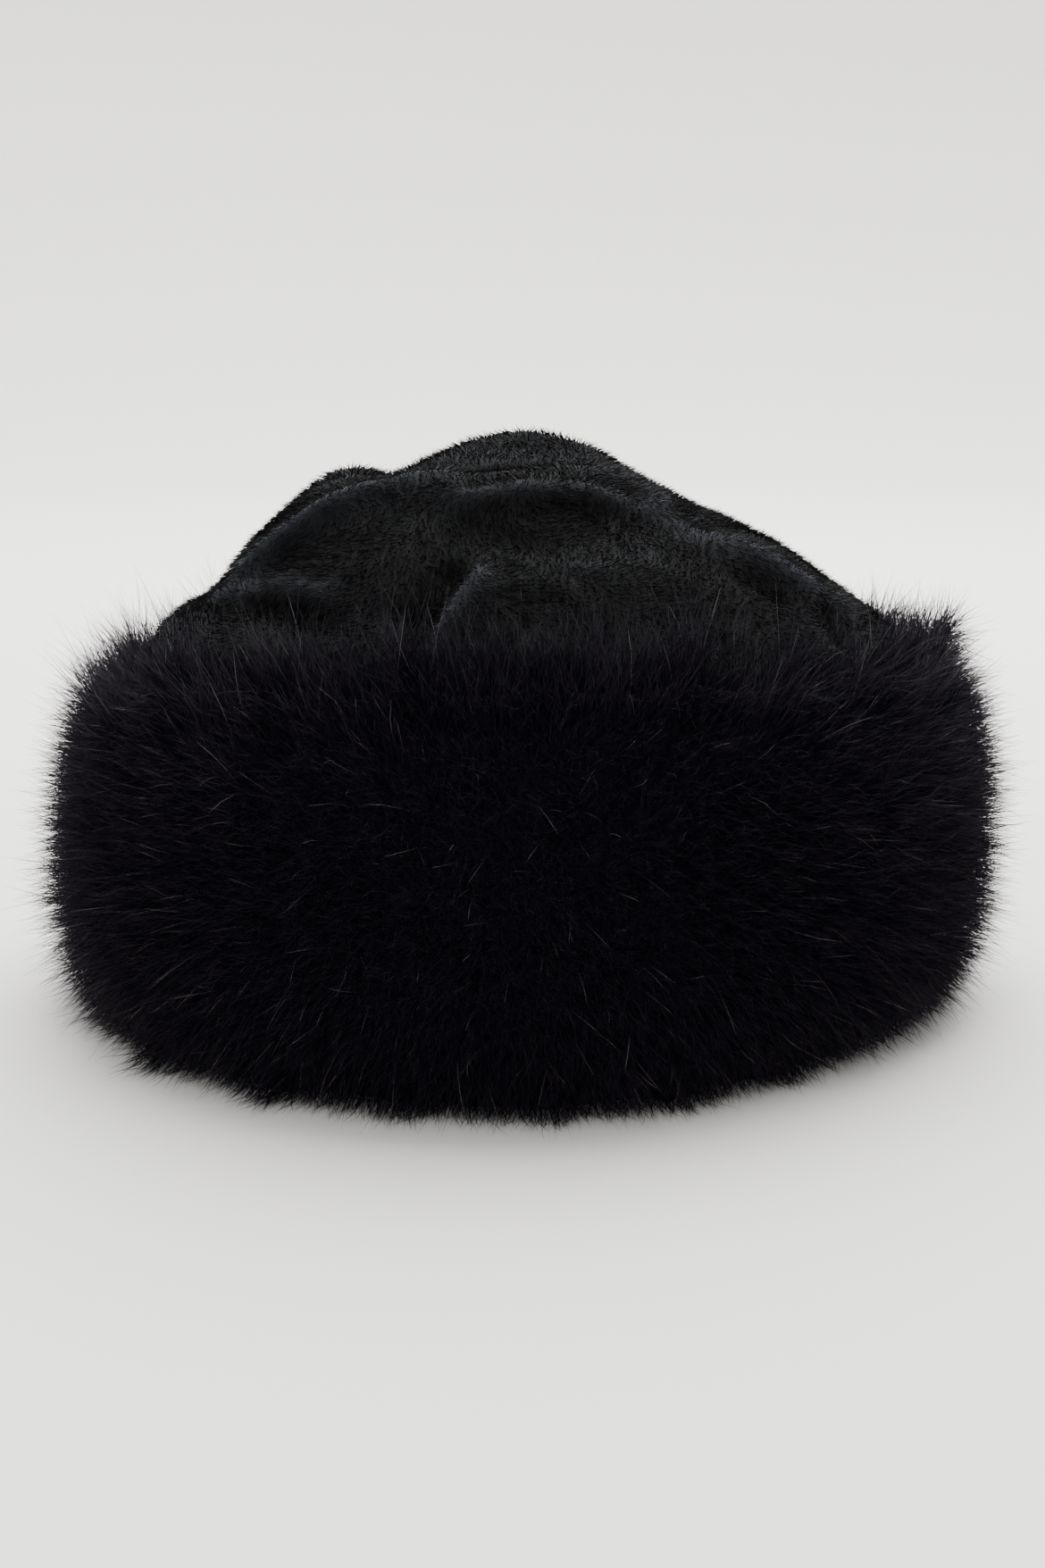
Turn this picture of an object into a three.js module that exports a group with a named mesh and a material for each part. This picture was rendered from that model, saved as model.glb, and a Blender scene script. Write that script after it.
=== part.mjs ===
// Fur-cuffed winter hat: a soft plush crown, slumped into folds, standing inside a deep turned-up
// cuff of long-pile fur. Millimetres, +Z up, front towards -Y, resting on its rim at Z = 0.
import * as THREE from "three";

// Crown: the oval plush wall inside the cuff, and the dome that slumps above it.
const CROWN_WALL = 2.8;
const RIM_CLEARANCE = 1.5;
const DOME_HALF_WIDTH = 116;
const DOME_HALF_DEPTH = 101;
const OVAL_POWER = 2.2;
const DOME_RINGS = 18;
const DOME_SECTORS = 6;
const CROWN_STEPS_AROUND = DOME_RINGS * DOME_SECTORS;

// Outside face of the crown's wall, from the rim up to where the cuff ends.
const WALL_SECTIONS = [
  { name: "rim", height: RIM_CLEARANCE, halfWidth: 101, halfDepth: 94 },
  { name: "head", height: 48, halfWidth: 102, halfDepth: 95 },
  { name: "cuff_mouth", height: 88, halfWidth: 107, halfDepth: 97 },
];

// Height of the dome from its widest ring (reach 1) in to the top (reach 0), on its four sides.
const DOME_SECTIONS = [
  { reach: 1.0, right: 110, back: 108, left: 107, front: 111 },
  { reach: 0.95, right: 116, back: 117, left: 116, front: 119 },
  { reach: 0.9, right: 119, back: 123, left: 120, front: 125 },
  { reach: 0.82, right: 127, back: 131, left: 123, front: 132 },
  { reach: 0.72, right: 137, back: 140, left: 139, front: 140 },
  { reach: 0.62, right: 143, back: 148, left: 152, front: 146 },
  { reach: 0.5, right: 148, back: 155, left: 159, front: 152 },
  { reach: 0.36, right: 155, back: 162, left: 162, front: 159 },
  { reach: 0.2, right: 163, back: 168, left: 165, front: 164 },
  { reach: 0.0, right: 167, back: 167, left: 167, front: 167 },
];

// Folds of the dome in plan: a raised (or, below zero, sunken) line from one end to the other, bowed
// sideways, that fades out at both ends and falls off over its front and its back width.
const FOLDS = [
  { name: "front_crest", from: [-86, -12], to: [40, -4], bow: -27, rise: 6.5, front: 8, back: 8 },
  { name: "crest_gutter", from: [-72, 6], to: [34, 8], bow: -20, rise: -6, front: 8, back: 9 },
  { name: "left_lobe", from: [-76, 20], to: [-36, 26], bow: 4, rise: 4, front: 10, back: 14 },
  { name: "lobe_notch", from: [-44, 6], to: [-34, 52], bow: 3, rise: -5, front: 6, back: 6 },
  { name: "back_crest", from: [-32, 18], to: [44, 22], bow: 8, rise: 6, front: 11, back: 16 },
  { name: "second_crest", from: [-28, -46], to: [46, -22], bow: -5, rise: 5, front: 6, back: 7 },
  { name: "second_gutter", from: [-20, -58], to: [54, -38], bow: -5, rise: -6, front: 7, back: 6 },
  { name: "right_crest", from: [38, -42], to: [100, -30], bow: -6, rise: 6, front: 7, back: 7 },
  { name: "right_gutter", from: [42, -22], to: [96, -12], bow: -4, rise: -5, front: 7, back: 8 },
  { name: "left_roll", from: [-106, 4], to: [-46, -78], bow: 18, rise: 4, front: 9, back: 8 },
  { name: "left_gutter", from: [-95, 6], to: [-40, -68], bow: 17, rise: -4, front: 8, back: 8 },
  { name: "front_dart", from: [-33, -94], to: [-12, -62], bow: 3, rise: -7, front: 6, back: 6 },
  { name: "dart_lip", from: [-22, -92], to: [-2, -66], bow: 3, rise: 4, front: 7, back: 7 },
  { name: "right_dart", from: [97, -56], to: [84, -30], bow: 2, rise: -7, front: 6, back: 6 },
  { name: "back_gutter", from: [-70, 58], to: [64, 62], bow: 14, rise: -5, front: 9, back: 8 },
  { name: "back_roll", from: [-60, 74], to: [70, 76], bow: 10, rise: 3, front: 8, back: 8 },
  { name: "back_dart", from: [26, 96], to: [12, 66], bow: -3, rise: -6, front: 6, back: 6 },
];
const FOLD_FADE = 0.3;
const FOLD_SAMPLES = 14;
const FOLD_EDGE = 0.15;

// Cuff: the dense body of the fur round the crown's wall, in eight directions round the hat.
const CUFF_GAP = 0.4;
const CUFF_TUCK = 1;
const CUFF_BOTTOM_ROUND = 13;
const CUFF_TOP_ROUND = 19;
const CUFF_SIDE_BULGE = 2.5;
const CUFF_SIDES = [
  { name: "right", outside: 137, height: 106 },
  { name: "right_back", outside: 134, height: 103 },
  { name: "back", outside: 130, height: 101 },
  { name: "left_back", outside: 132, height: 98 },
  { name: "left", outside: 136, height: 95 },
  { name: "left_front", outside: 134, height: 105 },
  { name: "front", outside: 131, height: 113 },
  { name: "right_front", outside: 127, height: 112 },
];

// Lay of the fur up the cuff's face, from its bottom edge (place 0) to its inner top edge (place 1): how
// far a lock's tip stands out of the body, and how many degrees it leans up (below zero, down) from square.
const FUR_LAY = [
  { place: 0.0, reach: 9, lean: -8 },
  { place: 0.25, reach: 13, lean: 6 },
  { place: 0.6, reach: 14, lean: 14 },
  { place: 0.9, reach: 14, lean: 4 },
  { place: 1.0, reach: 8, lean: 0 },
];
const LOCKS_AROUND = 40;
const LOCK_ROWS = 5;
const LOCK_ACROSS = [0.4, 1, 0.4];
const LOCK_RISE = [0.1, 0.5, 1, 0.35];
const LOCK_STAGGER = 2;
const LOCK_VARIATION = 0.3;
const LOCK_SWAY = 16;

const PLUSH = new THREE.MeshStandardMaterial({ color: 0x1b1d20, roughness: 0.95, metalness: 0 });
const FUR = new THREE.MeshStandardMaterial({ color: 0x0c0a0c, roughness: 0.7, metalness: 0 });

const TURN = Math.PI * 2;
const SCATTER = { first: 12.9898, second: 78.233, spread: 43758.5453 };

// A value in [-1, 1] that looks random but depends only on its two whole numbers.
function jitter(a, b) {
  const wave = Math.sin(a * SCATTER.first + b * SCATTER.second) * SCATTER.spread;
  return (wave - Math.floor(wave)) * 2 - 1;
}

// Blends values given at equal steps round the hat, starting on its right.
function blendAround(values, angle) {
  const count = values.length;
  const place = (((angle / TURN) * count) % count + count) % count;
  const first = Math.floor(place);
  const share = Math.sin((place - first) * (TURN / 4)) ** 2;
  return values[first] * (1 - share) + values[(first + 1) % count] * share;
}

// Distance from the middle to an oval of those half sizes, in one direction.
function ovalRadius(halfWidth, halfDepth, angle) {
  const across = Math.abs(Math.cos(angle) / halfWidth) ** OVAL_POWER;
  const along = Math.abs(Math.sin(angle) / halfDepth) ** OVAL_POWER;
  return (across + along) ** (-1 / OVAL_POWER);
}

// Height of the smooth dome at a reach from 0 to 1: a curve through the four-sided sections.
function domeHeight(reach, angle) {
  const last = DOME_SECTIONS.length - 1;
  const lower = Math.max(DOME_SECTIONS.findIndex((row) => row.reach <= reach), 1);
  const at = (k) => DOME_SECTIONS[Math.min(Math.max(k, 0), last)];
  const rows = [at(lower - 2), at(lower - 1), at(lower), at(lower + 1)];
  const heights = rows.map((row) => blendAround([row.right, row.back, row.left, row.front], angle));
  const span = rows[1].reach - rows[2].reach;
  const share = (rows[1].reach - reach) / span;
  const slope = (a, b) => ((heights[b] - heights[a]) / (rows[a].reach - rows[b].reach || span)) * span;
  const [start, end] = [slope(0, 2), slope(1, 3)];
  const [s2, s3] = [share ** 2, share ** 3];
  return (
    heights[1] * (2 * s3 - 3 * s2 + 1) +
    start * (s3 - 2 * s2 + share) +
    heights[2] * (3 * s2 - 2 * s3) +
    end * (s3 - s2)
  );
}

// The line of a fold in plan, as points along a bowed curve.
function foldLine(fold) {
  const start = new THREE.Vector2(...fold.from);
  const end = new THREE.Vector2(...fold.to);
  const run = end.clone().sub(start).normalize();
  const pull = start.clone().add(end).multiplyScalar(0.5);
  pull.add(new THREE.Vector2(-run.y, run.x).multiplyScalar(2 * fold.bow));
  return new THREE.QuadraticBezierCurve(start, pull, end).getPoints(FOLD_SAMPLES);
}

const FOLD_LINES = FOLDS.map((fold) => ({ ...fold, line: foldLine(fold) }));

// How much the folds lift the dome at a point in plan.
function foldLift(x, y) {
  let lift = 0;
  for (const fold of FOLD_LINES) {
    let nearest = Infinity;
    let along = 0;
    let side = 1;
    for (let k = 0; k < FOLD_SAMPLES; k++) {
      const a = fold.line[k];
      const b = fold.line[k + 1];
      const [dx, dy] = [b.x - a.x, b.y - a.y];
      const share = THREE.MathUtils.clamp(((x - a.x) * dx + (y - a.y) * dy) / (dx * dx + dy * dy), 0, 1);
      const gap = Math.hypot(x - a.x - share * dx, y - a.y - share * dy);
      if (gap < nearest) {
        nearest = gap;
        along = (k + share) / FOLD_SAMPLES;
        side = dx * (y - a.y) - dy * (x - a.x);
      }
    }
    const width = side < 0 ? fold.front : fold.back;
    const ends = Math.min(1, along / FOLD_FADE, (1 - along) / FOLD_FADE);
    const fade = Math.sin((Math.max(ends, 0) * Math.PI) / 2) ** 2;
    lift += fold.rise * fade * Math.exp(-((nearest / width) ** 2));
  }
  return lift;
}

// A point of the hat from its direction, its distance from the middle and its height.
function pointAt(angle, distance, height) {
  return new THREE.Vector3(distance * Math.cos(angle), distance * Math.sin(angle), height);
}

// Directions at equal steps round the hat.
function anglesAround(count) {
  return Array.from({ length: count }, (_, k) => (k / count) * TURN);
}

// The crown's outside face as points and triangles: rings of equal count up the wall, then rings over
// the dome that lose one point in each sector at every step in, down to the single top point.
function crownOutside() {
  const wall = WALL_SECTIONS.map((row) =>
    anglesAround(CROWN_STEPS_AROUND).map((angle) =>
      pointAt(angle, ovalRadius(row.halfWidth, row.halfDepth, angle), row.height),
    ),
  );
  const dome = Array.from({ length: DOME_RINGS }, (_, k) => {
    const reach = 1 - k / DOME_RINGS;
    const folded = THREE.MathUtils.smoothstep(1 - reach, 0, FOLD_EDGE);
    return anglesAround(DOME_SECTORS * (DOME_RINGS - k)).map((angle) => {
      const point = pointAt(angle, reach * ovalRadius(DOME_HALF_WIDTH, DOME_HALF_DEPTH, angle), 0);
      return point.setZ(domeHeight(reach, angle) + folded * foldLift(point.x, point.y));
    });
  });
  const top = new THREE.Vector3(0, 0, domeHeight(0, 0) + foldLift(0, 0));
  const rings = [...wall, ...dome, [top]];
  const faces = [];
  let first = 0;
  rings.slice(0, -1).forEach((ring, k) => {
    faces.push(...ringBand(ring.length, first, rings[k + 1].length, first + ring.length));
    first += ring.length;
  });
  return { points: rings.flat(), faces };
}

// Triangles between a ring and the next one in, which has as many points or one fewer in each sector.
function ringBand(count, first, nextCount, nextFirst) {
  const faces = [];
  const steps = count / DOME_SECTORS;
  const nextSteps = nextCount < DOME_SECTORS ? 0 : nextCount / DOME_SECTORS;
  for (let sector = 0; sector < DOME_SECTORS; sector++) {
    const here = (j) => first + ((sector * steps + j) % count);
    const next = (j) => nextFirst + ((sector * nextSteps + j) % nextCount);
    for (let j = 0; j < steps; j++) {
      faces.push([here(j), here(j + 1), next(j)]);
      if (j < nextSteps) faces.push([here(j + 1), next(j + 1), next(j)]);
    }
  }
  return faces;
}

// A geometry of shared points and the triangles between them.
function geometryOf(points, faces) {
  const geometry = new THREE.BufferGeometry();
  geometry.setAttribute("position", new THREE.Float32BufferAttribute(points.flatMap((p) => p.toArray()), 3));
  geometry.setIndex(faces.flat());
  geometry.computeVertexNormals();
  return geometry;
}

// The crown's outside face moved in along its own normals, with its rim kept level.
function crownInside(outside) {
  const normals = geometryOf(outside.points, outside.faces).getAttribute("normal");
  return outside.points.map((point, k) => {
    const normal = new THREE.Vector3().fromBufferAttribute(normals, k);
    if (k < CROWN_STEPS_AROUND) normal.setZ(0).normalize();
    return point.clone().addScaledVector(normal, -CROWN_WALL);
  });
}

// The hollow crown: its outside face, the same face a wall's thickness in, and the rim between them.
function crownGeometry() {
  const outside = crownOutside();
  const inside = crownInside(outside);
  const shift = inside.length;
  const faces = [...outside.faces];
  for (const [a, b, c] of outside.faces) faces.push([a + shift, c + shift, b + shift]);
  for (let k = 0; k < CROWN_STEPS_AROUND; k++) {
    const next = (k + 1) % CROWN_STEPS_AROUND;
    faces.push([k, k + shift, next + shift], [k, next + shift, next]);
  }
  return geometryOf([...outside.points, ...inside], faces);
}

// The cuff's inner wall in one direction, a clearance outside the crown's wall, from the bottom up.
function cuffInside(angle) {
  const wall = WALL_SECTIONS.map(
    (row) => new THREE.Vector2(ovalRadius(row.halfWidth, row.halfDepth, angle), row.height),
  );
  const mouth = wall.at(-1);
  const widest = new THREE.Vector2(ovalRadius(DOME_HALF_WIDTH, DOME_HALF_DEPTH, angle), domeHeight(1, angle));
  const edge = mouth.clone().lerp(widest, 1 - CUFF_TUCK / (widest.y - mouth.y));
  wall[0].y = 0;
  return [...wall, edge].map((p) => p.setX(p.x + CUFF_GAP));
}

// The cuff's face in one direction, from its bottom edge out, up and in over the top to its inner edge.
function cuffFace(angle) {
  const outside = blendAround(CUFF_SIDES.map((side) => side.outside), angle);
  const high = blendAround(CUFF_SIDES.map((side) => side.height), angle) - CUFF_TOP_ROUND;
  const edge = cuffInside(angle).at(-1);
  const face = new THREE.Path();
  face.absarc(outside - CUFF_BOTTOM_ROUND, CUFF_BOTTOM_ROUND, CUFF_BOTTOM_ROUND, -Math.PI / 2, 0);
  face.quadraticCurveTo(outside + 2 * CUFF_SIDE_BULGE, (CUFF_BOTTOM_ROUND + high) / 2, outside, high);
  face.absarc(outside - CUFF_TOP_ROUND, high, CUFF_TOP_ROUND, 0, Math.PI / 2);
  face.lineTo(edge.x, edge.y);
  return face;
}

// The reach and the lean of the fur at a place on the cuff's face.
function furLay(place) {
  const above = Math.max(FUR_LAY.findIndex((row) => row.place >= place), 1);
  const [low, high] = [FUR_LAY[above - 1], FUR_LAY[above]];
  const share = (place - low.place) / (high.place - low.place);
  return {
    reach: THREE.MathUtils.lerp(low.reach, high.reach, share),
    lean: THREE.MathUtils.lerp(low.lean, high.lean, share),
  };
}

// A point of the fur, kept above the floor and outside the widest ring of the crown.
function keptClear(point) {
  const angle = Math.atan2(point.y, point.x);
  const distance = Math.max(Math.hypot(point.x, point.y), cuffInside(angle).at(-1).x);
  return pointAt(angle, distance, Math.max(point.z, 0));
}

// One upright strip of the fur's face, with its steps drawn out into locks. The locks of neighbouring
// columns are set apart in height, so that no tiers show.
function furStrip(around, angle) {
  const face = cuffFace(angle);
  const steps = LOCK_ROWS * LOCK_RISE.length;
  const column = Math.floor(around / LOCK_ACROSS.length);
  const out = pointAt(angle, 1, 0);
  const aside = pointAt(angle + TURN / 4, 1, 0);
  return Array.from({ length: steps + 1 }, (_, up) => {
    const place = up / steps;
    const root = face.getPointAt(place);
    if (up === steps) return pointAt(angle, root.x, root.y);
    const step = up + column * LOCK_STAGGER;
    const lock = Math.floor(step / LOCK_RISE.length);
    const share = LOCK_ACROSS[around % LOCK_ACROSS.length] * LOCK_RISE[step % LOCK_RISE.length];
    const { reach, lean } = furLay(place);
    const run = face.getTangentAt(place);
    const tilt = THREE.MathUtils.degToRad(lean + LOCK_SWAY * jitter(column, lock));
    const square = new THREE.Vector2(run.y, -run.x).rotateAround(new THREE.Vector2(), tilt);
    const along = out.clone().multiplyScalar(square.x).setZ(square.y);
    const sway = THREE.MathUtils.degToRad(LOCK_SWAY * jitter(lock, column + LOCKS_AROUND));
    along.addScaledVector(aside, Math.tan(sway));
    const length = reach * share * (1 + LOCK_VARIATION * jitter(column + LOCKS_AROUND, lock));
    return keptClear(pointAt(angle, root.x, root.y).addScaledVector(along.normalize(), length));
  });
}

// The fur cuff: upright strips of its inner wall and its locks, joined round the hat.
function cuffGeometry() {
  const strips = anglesAround(LOCKS_AROUND * LOCK_ACROSS.length).map((angle, around) => {
    const inside = cuffInside(angle).map((p) => pointAt(angle, p.x, p.y));
    return [...furStrip(around, angle), ...inside.slice(0, -1).reverse()];
  });
  const across = strips[0].length;
  const faces = [];
  strips.forEach((_, k) => {
    const [here, next] = [k * across, ((k + 1) % strips.length) * across];
    for (let j = 0; j < across; j++) {
      const up = (j + 1) % across;
      faces.push([here + j, next + j, next + up], [here + j, next + up, here + up]);
    }
  });
  return geometryOf(strips.flat(), faces);
}

// One named piece of the hat.
function piece(name, geometry, material) {
  const mesh = new THREE.Mesh(geometry, material);
  mesh.name = name;
  return mesh;
}

// The hat, moved so that the origin lies under the middle of its outline.
const pieces = new THREE.Group();
pieces.add(piece("crown", crownGeometry(), PLUSH), piece("fur_cuff", cuffGeometry(), FUR));
const middle = new THREE.Box3().setFromObject(pieces).getCenter(new THREE.Vector3());
pieces.position.set(-middle.x, -middle.y, 0);

const hat = new THREE.Group();
hat.add(pieces);

export default hat;
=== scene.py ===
"""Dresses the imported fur-cuffed hat: plush crown, long-pile fur cuff, pale studio, soft light and camera.

Lengths are in metres in the part's own frame, with MM for sizes that are known in millimetres.
"""

from __future__ import annotations

import logging
import math
from dataclasses import dataclass, field
from enum import Enum
from typing import Any

import bmesh
import bpy
import numpy as np
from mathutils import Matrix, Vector, noise


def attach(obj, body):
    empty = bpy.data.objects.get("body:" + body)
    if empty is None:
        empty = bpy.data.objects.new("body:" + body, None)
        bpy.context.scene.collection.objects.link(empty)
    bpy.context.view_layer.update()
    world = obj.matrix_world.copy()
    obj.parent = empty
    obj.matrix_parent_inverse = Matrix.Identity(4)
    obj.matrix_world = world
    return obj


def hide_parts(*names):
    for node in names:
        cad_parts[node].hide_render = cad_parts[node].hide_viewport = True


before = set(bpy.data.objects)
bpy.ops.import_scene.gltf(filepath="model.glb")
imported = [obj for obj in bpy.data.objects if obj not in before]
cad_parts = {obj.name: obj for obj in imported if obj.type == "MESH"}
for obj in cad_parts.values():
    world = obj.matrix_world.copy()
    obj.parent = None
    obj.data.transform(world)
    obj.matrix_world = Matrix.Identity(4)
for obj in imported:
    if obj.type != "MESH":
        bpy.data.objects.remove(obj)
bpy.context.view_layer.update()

LOG = logging.getLogger("hat")
MM = 0.001
PHOTO_HEIGHT_PX = 1756
SENSOR_MM = 36.0
# The photograph's line of sight, and how much depth along it counts beside distance across it.
SIGHT = np.array([0.0, 0.976, -0.216])
DEPTH_SHARE = 0.3
# Strands and their backing keep this far above the floor.
STRAND_FLOOR_MM = 0.3
BODY_FLOOR_MM = 0.4


class Slot(Enum):
    """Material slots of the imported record."""

    PLUSH = "plush"
    FUR = "fur"


class SkinMark(Enum):
    """Attributes that a skin carries for the strands that grow on it."""

    LAY = "lay"
    COVER = "cover"
    # Painted light of the crown's cloth and pile: a scale on colour, sheen and specular, painted highlight on
    # crests and painted shade in gutters.
    PAINTED_LIGHT = "shade"


class StrandMap(Enum):
    """UV maps of the strands: one for the finish to read, one like it for baking."""

    FINISH = "strand"
    BAKE = "OFBake"


def linear(hex_colour: str) -> tuple[float, float, float, float]:
    """Turn an sRGB hex colour into linear RGBA.

    Args:
        hex_colour: Colour as "#rrggbb".

    Returns:
        Linear red, green, blue and an alpha of 1.
    """
    parts = [int(hex_colour[i : i + 2], 16) / 255 for i in (1, 3, 5)]
    red, green, blue = (p / 12.92 if p <= 0.04045 else ((p + 0.055) / 1.055) ** 2.4 for p in parts)
    return red, green, blue, 1.0


def add_node(
    tree: bpy.types.NodeTree,
    kind: str,
    settings: dict[str, Any] | None = None,
    inputs: dict[str | int, Any] | None = None,
) -> bpy.types.Node:
    """Add a node, set it up, and link or fill its inputs.

    Args:
        tree: Node tree that gets the node.
        kind: Blender's type name of the node.
        settings: Properties of the node by name.
        inputs: Inputs by name or place; an output socket is linked, any other value is set.

    Returns:
        The new node.
    """
    node = tree.nodes.new(kind)
    for name, value in (settings or {}).items():
        setattr(node, name, value)
    for key, value in (inputs or {}).items():
        socket = node.inputs[key]
        if isinstance(value, bpy.types.NodeSocket):
            tree.links.new(value, socket)
        else:
            socket.default_value = value
    return node


def new_material(name: str) -> tuple[bpy.types.Material, bpy.types.NodeTree, bpy.types.Node]:
    """Make a material that holds one Principled shader.

    Args:
        name: Name of the material.

    Returns:
        The material, its node tree and its Principled node.
    """
    material = bpy.data.materials.new(name)
    material.use_nodes = True
    tree = material.node_tree
    return material, tree, tree.nodes["Principled BSDF"]


def new_object(name: str, mesh: bpy.types.Mesh) -> bpy.types.Object:
    """Put a mesh into the scene as an object at the origin.

    Args:
        name: Name of the object.
        mesh: Its mesh.

    Returns:
        The object.
    """
    piece = bpy.data.objects.new(name, mesh)
    bpy.context.scene.collection.objects.link(piece)
    return piece


def merged_copy(node: str, quads: bool) -> bpy.types.Mesh:
    """Copy a CAD node's mesh with its loose triangles merged.

    Args:
        node: Name of the CAD node.
        quads: True to pair triangles into quads, for a subdivision.

    Returns:
        A new mesh.
    """
    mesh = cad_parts[node].data.copy()
    mesh.materials.clear()
    work = bmesh.new()
    work.from_mesh(mesh)
    bmesh.ops.remove_doubles(work, verts=work.verts, dist=0.02 * MM)
    if quads:
        limit = math.radians(50)
        bmesh.ops.join_triangles(
            work,
            faces=work.faces,
            angle_face_threshold=limit,
            angle_shape_threshold=limit,
        )
    work.to_mesh(mesh)
    work.free()
    return mesh


def baked(piece: bpy.types.Object) -> None:
    """Turn a piece's live modifiers into its plain mesh.

    Args:
        piece: Object that gets the new mesh and loses its modifiers.
    """
    graph = bpy.context.evaluated_depsgraph_get()
    mesh = bpy.data.meshes.new_from_object(piece.evaluated_get(graph))
    piece.modifiers.clear()
    piece.data = mesh


def points_of(mesh: bpy.types.Mesh) -> np.ndarray:
    """Read the places of a mesh's vertices.

    Args:
        mesh: Mesh to read.

    Returns:
        One row for each vertex.
    """
    places = np.empty(len(mesh.vertices) * 3, np.float32)
    mesh.vertices.foreach_get("co", places)
    return places.reshape(-1, 3).astype(float)


def normals_of(mesh: bpy.types.Mesh) -> np.ndarray:
    """Read the normals of a mesh's vertices.

    Args:
        mesh: Mesh to read.

    Returns:
        One row for each vertex.
    """
    normals = np.empty(len(mesh.vertices) * 3, np.float32)
    mesh.vertex_normals.foreach_get("vector", normals)
    return normals.reshape(-1, 3).astype(float)


def place_points(mesh: bpy.types.Mesh, places: np.ndarray) -> None:
    """Write new places of a mesh's vertices."""
    mesh.vertices.foreach_set("co", places.astype(np.float32).ravel())
    mesh.update()


def unit(vectors: np.ndarray) -> np.ndarray:
    """Scale each row to length one, and leave a row without length at nought."""
    return vectors / np.maximum(np.linalg.norm(vectors, axis=1, keepdims=True), 1e-9)


def eased(values: np.ndarray, start: float, end: float) -> np.ndarray:
    """Ease from 0 at start to 1 at end.

    Args:
        values: Numbers to ease.
        start: Where the result is 0.
        end: Where the result is 1.

    Returns:
        A number from 0 to 1 for each value.
    """
    share = np.clip((values - start) / (end - start), 0.0, 1.0)
    return share * share * (3 - 2 * share)


def mark(mesh: bpy.types.Mesh, lay: np.ndarray, cover: np.ndarray) -> None:
    """Write the lay and cover of strands on a skin.

    Args:
        mesh: Skin that the strands grow on.
        lay: Direction of growth at each vertex; its length scales the strand.
        cover: Share of the full density at each vertex.
    """
    found = mesh.attributes.new(SkinMark.LAY.value, "FLOAT_VECTOR", "POINT")
    found.data.foreach_set("vector", lay.astype(np.float32).ravel())
    found = mesh.attributes.new(SkinMark.COVER.value, "FLOAT", "POINT")
    found.data.foreach_set("value", cover.astype(np.float32))


def covered_area(mesh: bpy.types.Mesh, cover: np.ndarray) -> float:
    """Measure a skin, with each face weighed by the mean cover of its corners.

    Args:
        mesh: Skin that the strands grow on.
        cover: Share of the full density at each vertex.

    Returns:
        Area in square metres.
    """
    total = 0.0
    for face in mesh.polygons:
        total += face.area * float(cover[list(face.vertices)].mean())
    return total


@dataclass(frozen=True)
class PlushFinish:
    """Knitted polyester plush, sheared short and brushed.

    It gives the eye a soft bluish black, with a fine broken grain where the fibres part. Along every fold it
    pales:
    partly the real sheen of pile seen side-on, partly painted highlight on the crests, with painted shade in
    the gutters.
    """

    name: str = "polyester_plush_black"
    ground_hex: str = "#07080b"
    pile_hex: str = "#0c0e14"
    sheen_hex: str = "#9dacca"
    roughness: float = 0.86
    sheen: float = 0.19
    sheen_roughness: float = 0.34
    grain_mm: float = 1.1
    parting_mm: float = 9.0
    bump_mm: float = 0.7

    def material(self) -> bpy.types.Material:
        """Return the plush: grain and partings in colour and bump, with colour and sheen scaled by the
        cloth's painted light: paler on crests, darker in gutters.
        """
        material, tree, shader = new_material(self.name)
        place = add_node(tree, "ShaderNodeTexCoord").outputs["Object"]
        flow = add_node(tree, "ShaderNodeMapping", inputs={"Vector": place, "Scale": (1.0, 1.0, 0.45)})
        grain = add_node(
            tree,
            "ShaderNodeTexNoise",
            inputs={"Vector": flow.outputs[0], "Scale": 1 / (self.grain_mm * MM), "Detail": 3.0},
        )
        parting = add_node(
            tree,
            "ShaderNodeTexNoise",
            inputs={"Vector": flow.outputs[0], "Scale": 1 / (self.parting_mm * MM), "Detail": 4.0},
        )
        both = add_node(
            tree,
            "ShaderNodeMath",
            {"operation": "MULTIPLY"},
            {0: grain.outputs[0], 1: parting.outputs[0]},
        )
        ramp = add_node(tree, "ShaderNodeValToRGB", inputs={"Fac": both.outputs[0]})
        ramp.color_ramp.elements[0].position = 0.12
        ramp.color_ramp.elements[0].color = linear(self.ground_hex)
        ramp.color_ramp.elements[1].position = 0.42
        ramp.color_ramp.elements[1].color = linear(self.pile_hex)
        bump = add_node(
            tree,
            "ShaderNodeBump",
            inputs={"Height": both.outputs[0], "Strength": 0.6, "Distance": self.bump_mm * MM},
        )
        # Painted light: colour and sheen weight scaled by the cloth's attribute, painted highlight on crests
        # and painted shade in gutters.
        shade = add_node(tree, "ShaderNodeAttribute", {"attribute_name": SkinMark.PAINTED_LIGHT.value}).outputs["Fac"]
        painted_light_colour = add_node(
            tree,
            "ShaderNodeVectorMath",
            {"operation": "SCALE"},
            {0: ramp.outputs[0], "Scale": shade},
        )
        painted_sheen_weight = add_node(tree, "ShaderNodeMath", {"operation": "MULTIPLY"}, {0: shade, 1: self.sheen})
        tree.links.new(painted_light_colour.outputs[0], shader.inputs["Base Color"])
        tree.links.new(bump.outputs[0], shader.inputs["Normal"])
        tree.links.new(painted_sheen_weight.outputs[0], shader.inputs["Sheen Weight"])
        shader.inputs["Roughness"].default_value = self.roughness
        shader.inputs["IOR"].default_value = 1.5
        shader.inputs["Specular IOR Level"].default_value = 0.12
        shader.inputs["Sheen Roughness"].default_value = self.sheen_roughness
        shader.inputs["Sheen Tint"].default_value = linear(self.sheen_hex)
        return material


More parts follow.
